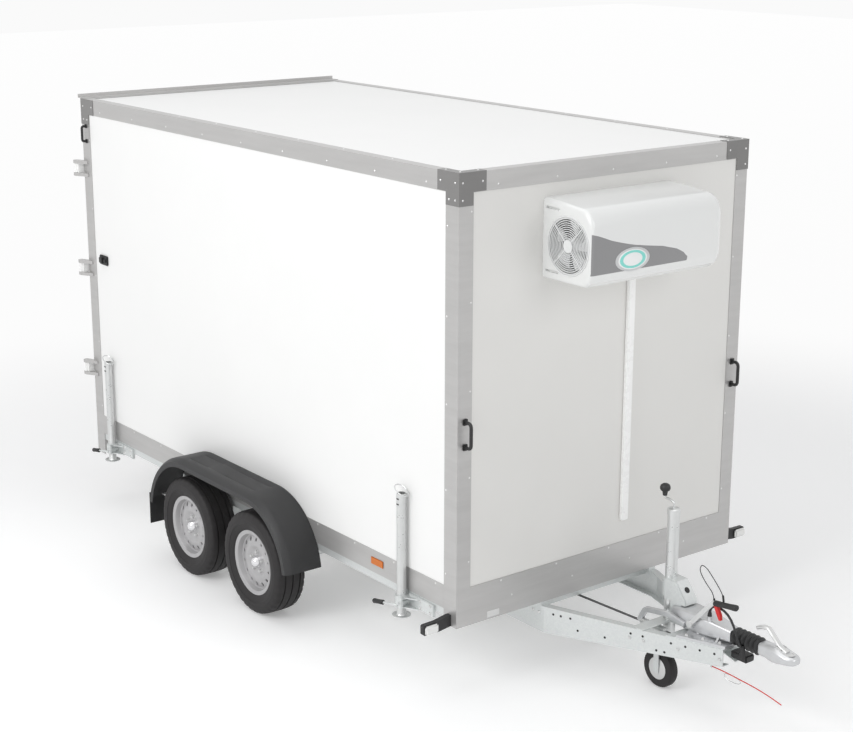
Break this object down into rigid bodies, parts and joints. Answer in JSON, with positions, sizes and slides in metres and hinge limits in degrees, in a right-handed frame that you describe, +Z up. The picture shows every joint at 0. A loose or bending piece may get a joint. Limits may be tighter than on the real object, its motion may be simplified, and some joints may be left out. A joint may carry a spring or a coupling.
{
  "type": "refrigerated trailer",
  "caption": "White insulated box trailer on a tandem axle, with rear doors, corner stands, jockey wheel and a cooling unit on its front wall",
  "frame": {"origin": "On the ground under the middle of the overall length and width.", "axes": "+X forward to the coupling, +Y to the trailer's left, +Z up."},
  "size_m": [5.084, 2.34, 2.6323],
  "materials": {
    "painted": "smooth off-white gel-coated panel, satin",
    "profile": "natural anodised aluminium edge profile",
    "cap": "dark grey coated corner cap",
    "galvanised": "hot-dip galvanised steel, dull spangle",
    "wheel_silver": "silver painted steel wheel",
    "tyre": "road tyre, matt black",
    "rubber": "black rubber, matt",
    "black_plastic": "black moulded plastic",
    "mudguard": "black grained plastic",
    "unit": "light grey moulded cover, satin",
    "zinc": "silver painted coupling"
  },
  "bodies": {
    "trailer": {"roof_panel": "painted", "floor_panel": "painted", "front_wall": "painted", "left_wall": "painted", "right_wall": "painted", "conduit": "painted", "roof_rim": "profile", "front_trim": "profile", "rear_trim": "profile", "left_skirt": "profile", "right_skirt": "profile", "rain_gutter": "profile", "door_frame": "profile", "front_left_cap": "cap", "front_right_cap": "cap", "rear_left_cap": "cap", "rear_right_cap": "cap", "chassis": "galvanised", "drawbar": "galvanised", "front_axle": "galvanised", "rear_axle": "galvanised", "jockey_tube": "galvanised", "coupling_gaiter": "rubber", "fan_guard": "black_plastic", "left_mudguard": "mudguard", "right_mudguard": "mudguard", "cooling_cover": "unit", "coupling_housing": "zinc", "coupling_head": "zinc", "handbrake_lever": "zinc"},
    "front_left_wheel": {"front_left_rim": "wheel_silver", "front_left_tyre": "tyre"},
    "front_right_wheel": {"front_right_rim": "wheel_silver", "front_right_tyre": "tyre"},
    "rear_left_wheel": {"rear_left_rim": "wheel_silver", "rear_left_tyre": "tyre"},
    "rear_right_wheel": {"rear_right_rim": "wheel_silver", "rear_right_tyre": "tyre"},
    "left_door_leaf": {"left_door": "painted", "left_lock_bar": "galvanised"},
    "right_door_leaf": {"right_door": "painted", "right_lock_bar": "galvanised"},
    "front_left_stand": {"front_left_prop": "galvanised"},
    "front_right_stand": {"front_right_prop": "galvanised"},
    "rear_left_stand": {"rear_left_prop": "galvanised"},
    "rear_right_stand": {"rear_right_prop": "galvanised"},
    "jockey_swivel": {"jockey_fork": "galvanised"},
    "jockey_roller": {"jockey_wheel": "rubber"},
    "fan": {"fan_rotor": "black_plastic"}
  },
  "joints": [
    {"name": "front_left_roll", "type": "hinge", "parent": "trailer", "child": "front_left_wheel", "pos_m": [-0.325, 1.0565, 0.29], "axis": [0, 1, 0], "continuous": true},
    {"name": "front_right_roll", "type": "hinge", "parent": "trailer", "child": "front_right_wheel", "pos_m": [-0.325, -1.0565, 0.29], "axis": [0, 1, 0], "continuous": true},
    {"name": "rear_left_roll", "type": "hinge", "parent": "trailer", "child": "rear_left_wheel", "pos_m": [-1.02, 1.0565, 0.29], "axis": [0, 1, 0], "continuous": true},
    {"name": "rear_right_roll", "type": "hinge", "parent": "trailer", "child": "rear_right_wheel", "pos_m": [-1.02, -1.0565, 0.29], "axis": [0, 1, 0], "continuous": true},
    {"name": "left_door_swing", "type": "hinge", "parent": "trailer", "child": "left_door_leaf", "pos_m": [-2.529, 0.986, 1.55], "axis": [0, 0, -1], "range_deg": [0, 270]},
    {"name": "right_door_swing", "type": "hinge", "parent": "trailer", "child": "right_door_leaf", "pos_m": [-2.529, -0.986, 1.55], "axis": [0, 0, 1], "range_deg": [0, 270]},
    {"name": "front_left_stand_drop", "type": "slide", "parent": "trailer", "child": "front_left_stand", "axis": [0, 0, -1], "range_m": [0, 0.343]},
    {"name": "front_right_stand_drop", "type": "slide", "parent": "trailer", "child": "front_right_stand", "axis": [0, 0, -1], "range_m": [0, 0.343]},
    {"name": "rear_left_stand_drop", "type": "slide", "parent": "trailer", "child": "rear_left_stand", "axis": [0, 0, -1], "range_m": [0, 0.343]},
    {"name": "rear_right_stand_drop", "type": "slide", "parent": "trailer", "child": "rear_right_stand", "axis": [0, 0, -1], "range_m": [0, 0.343]},
    {"name": "jockey_steer", "type": "hinge", "parent": "trailer", "child": "jockey_swivel", "pos_m": [1.732, 0, 0.212], "axis": [0, 0, 1], "continuous": true},
    {"name": "jockey_roll", "type": "hinge", "parent": "jockey_swivel", "child": "jockey_roller", "pos_m": [1.687, 0, 0.1], "axis": [0, 1, 0], "continuous": true},
    {"name": "fan_spin", "type": "hinge", "parent": "trailer", "child": "fan", "pos_m": [1.4115, -0.465, 2.245], "axis": [0, 1, 0], "continuous": true}
  ]
}
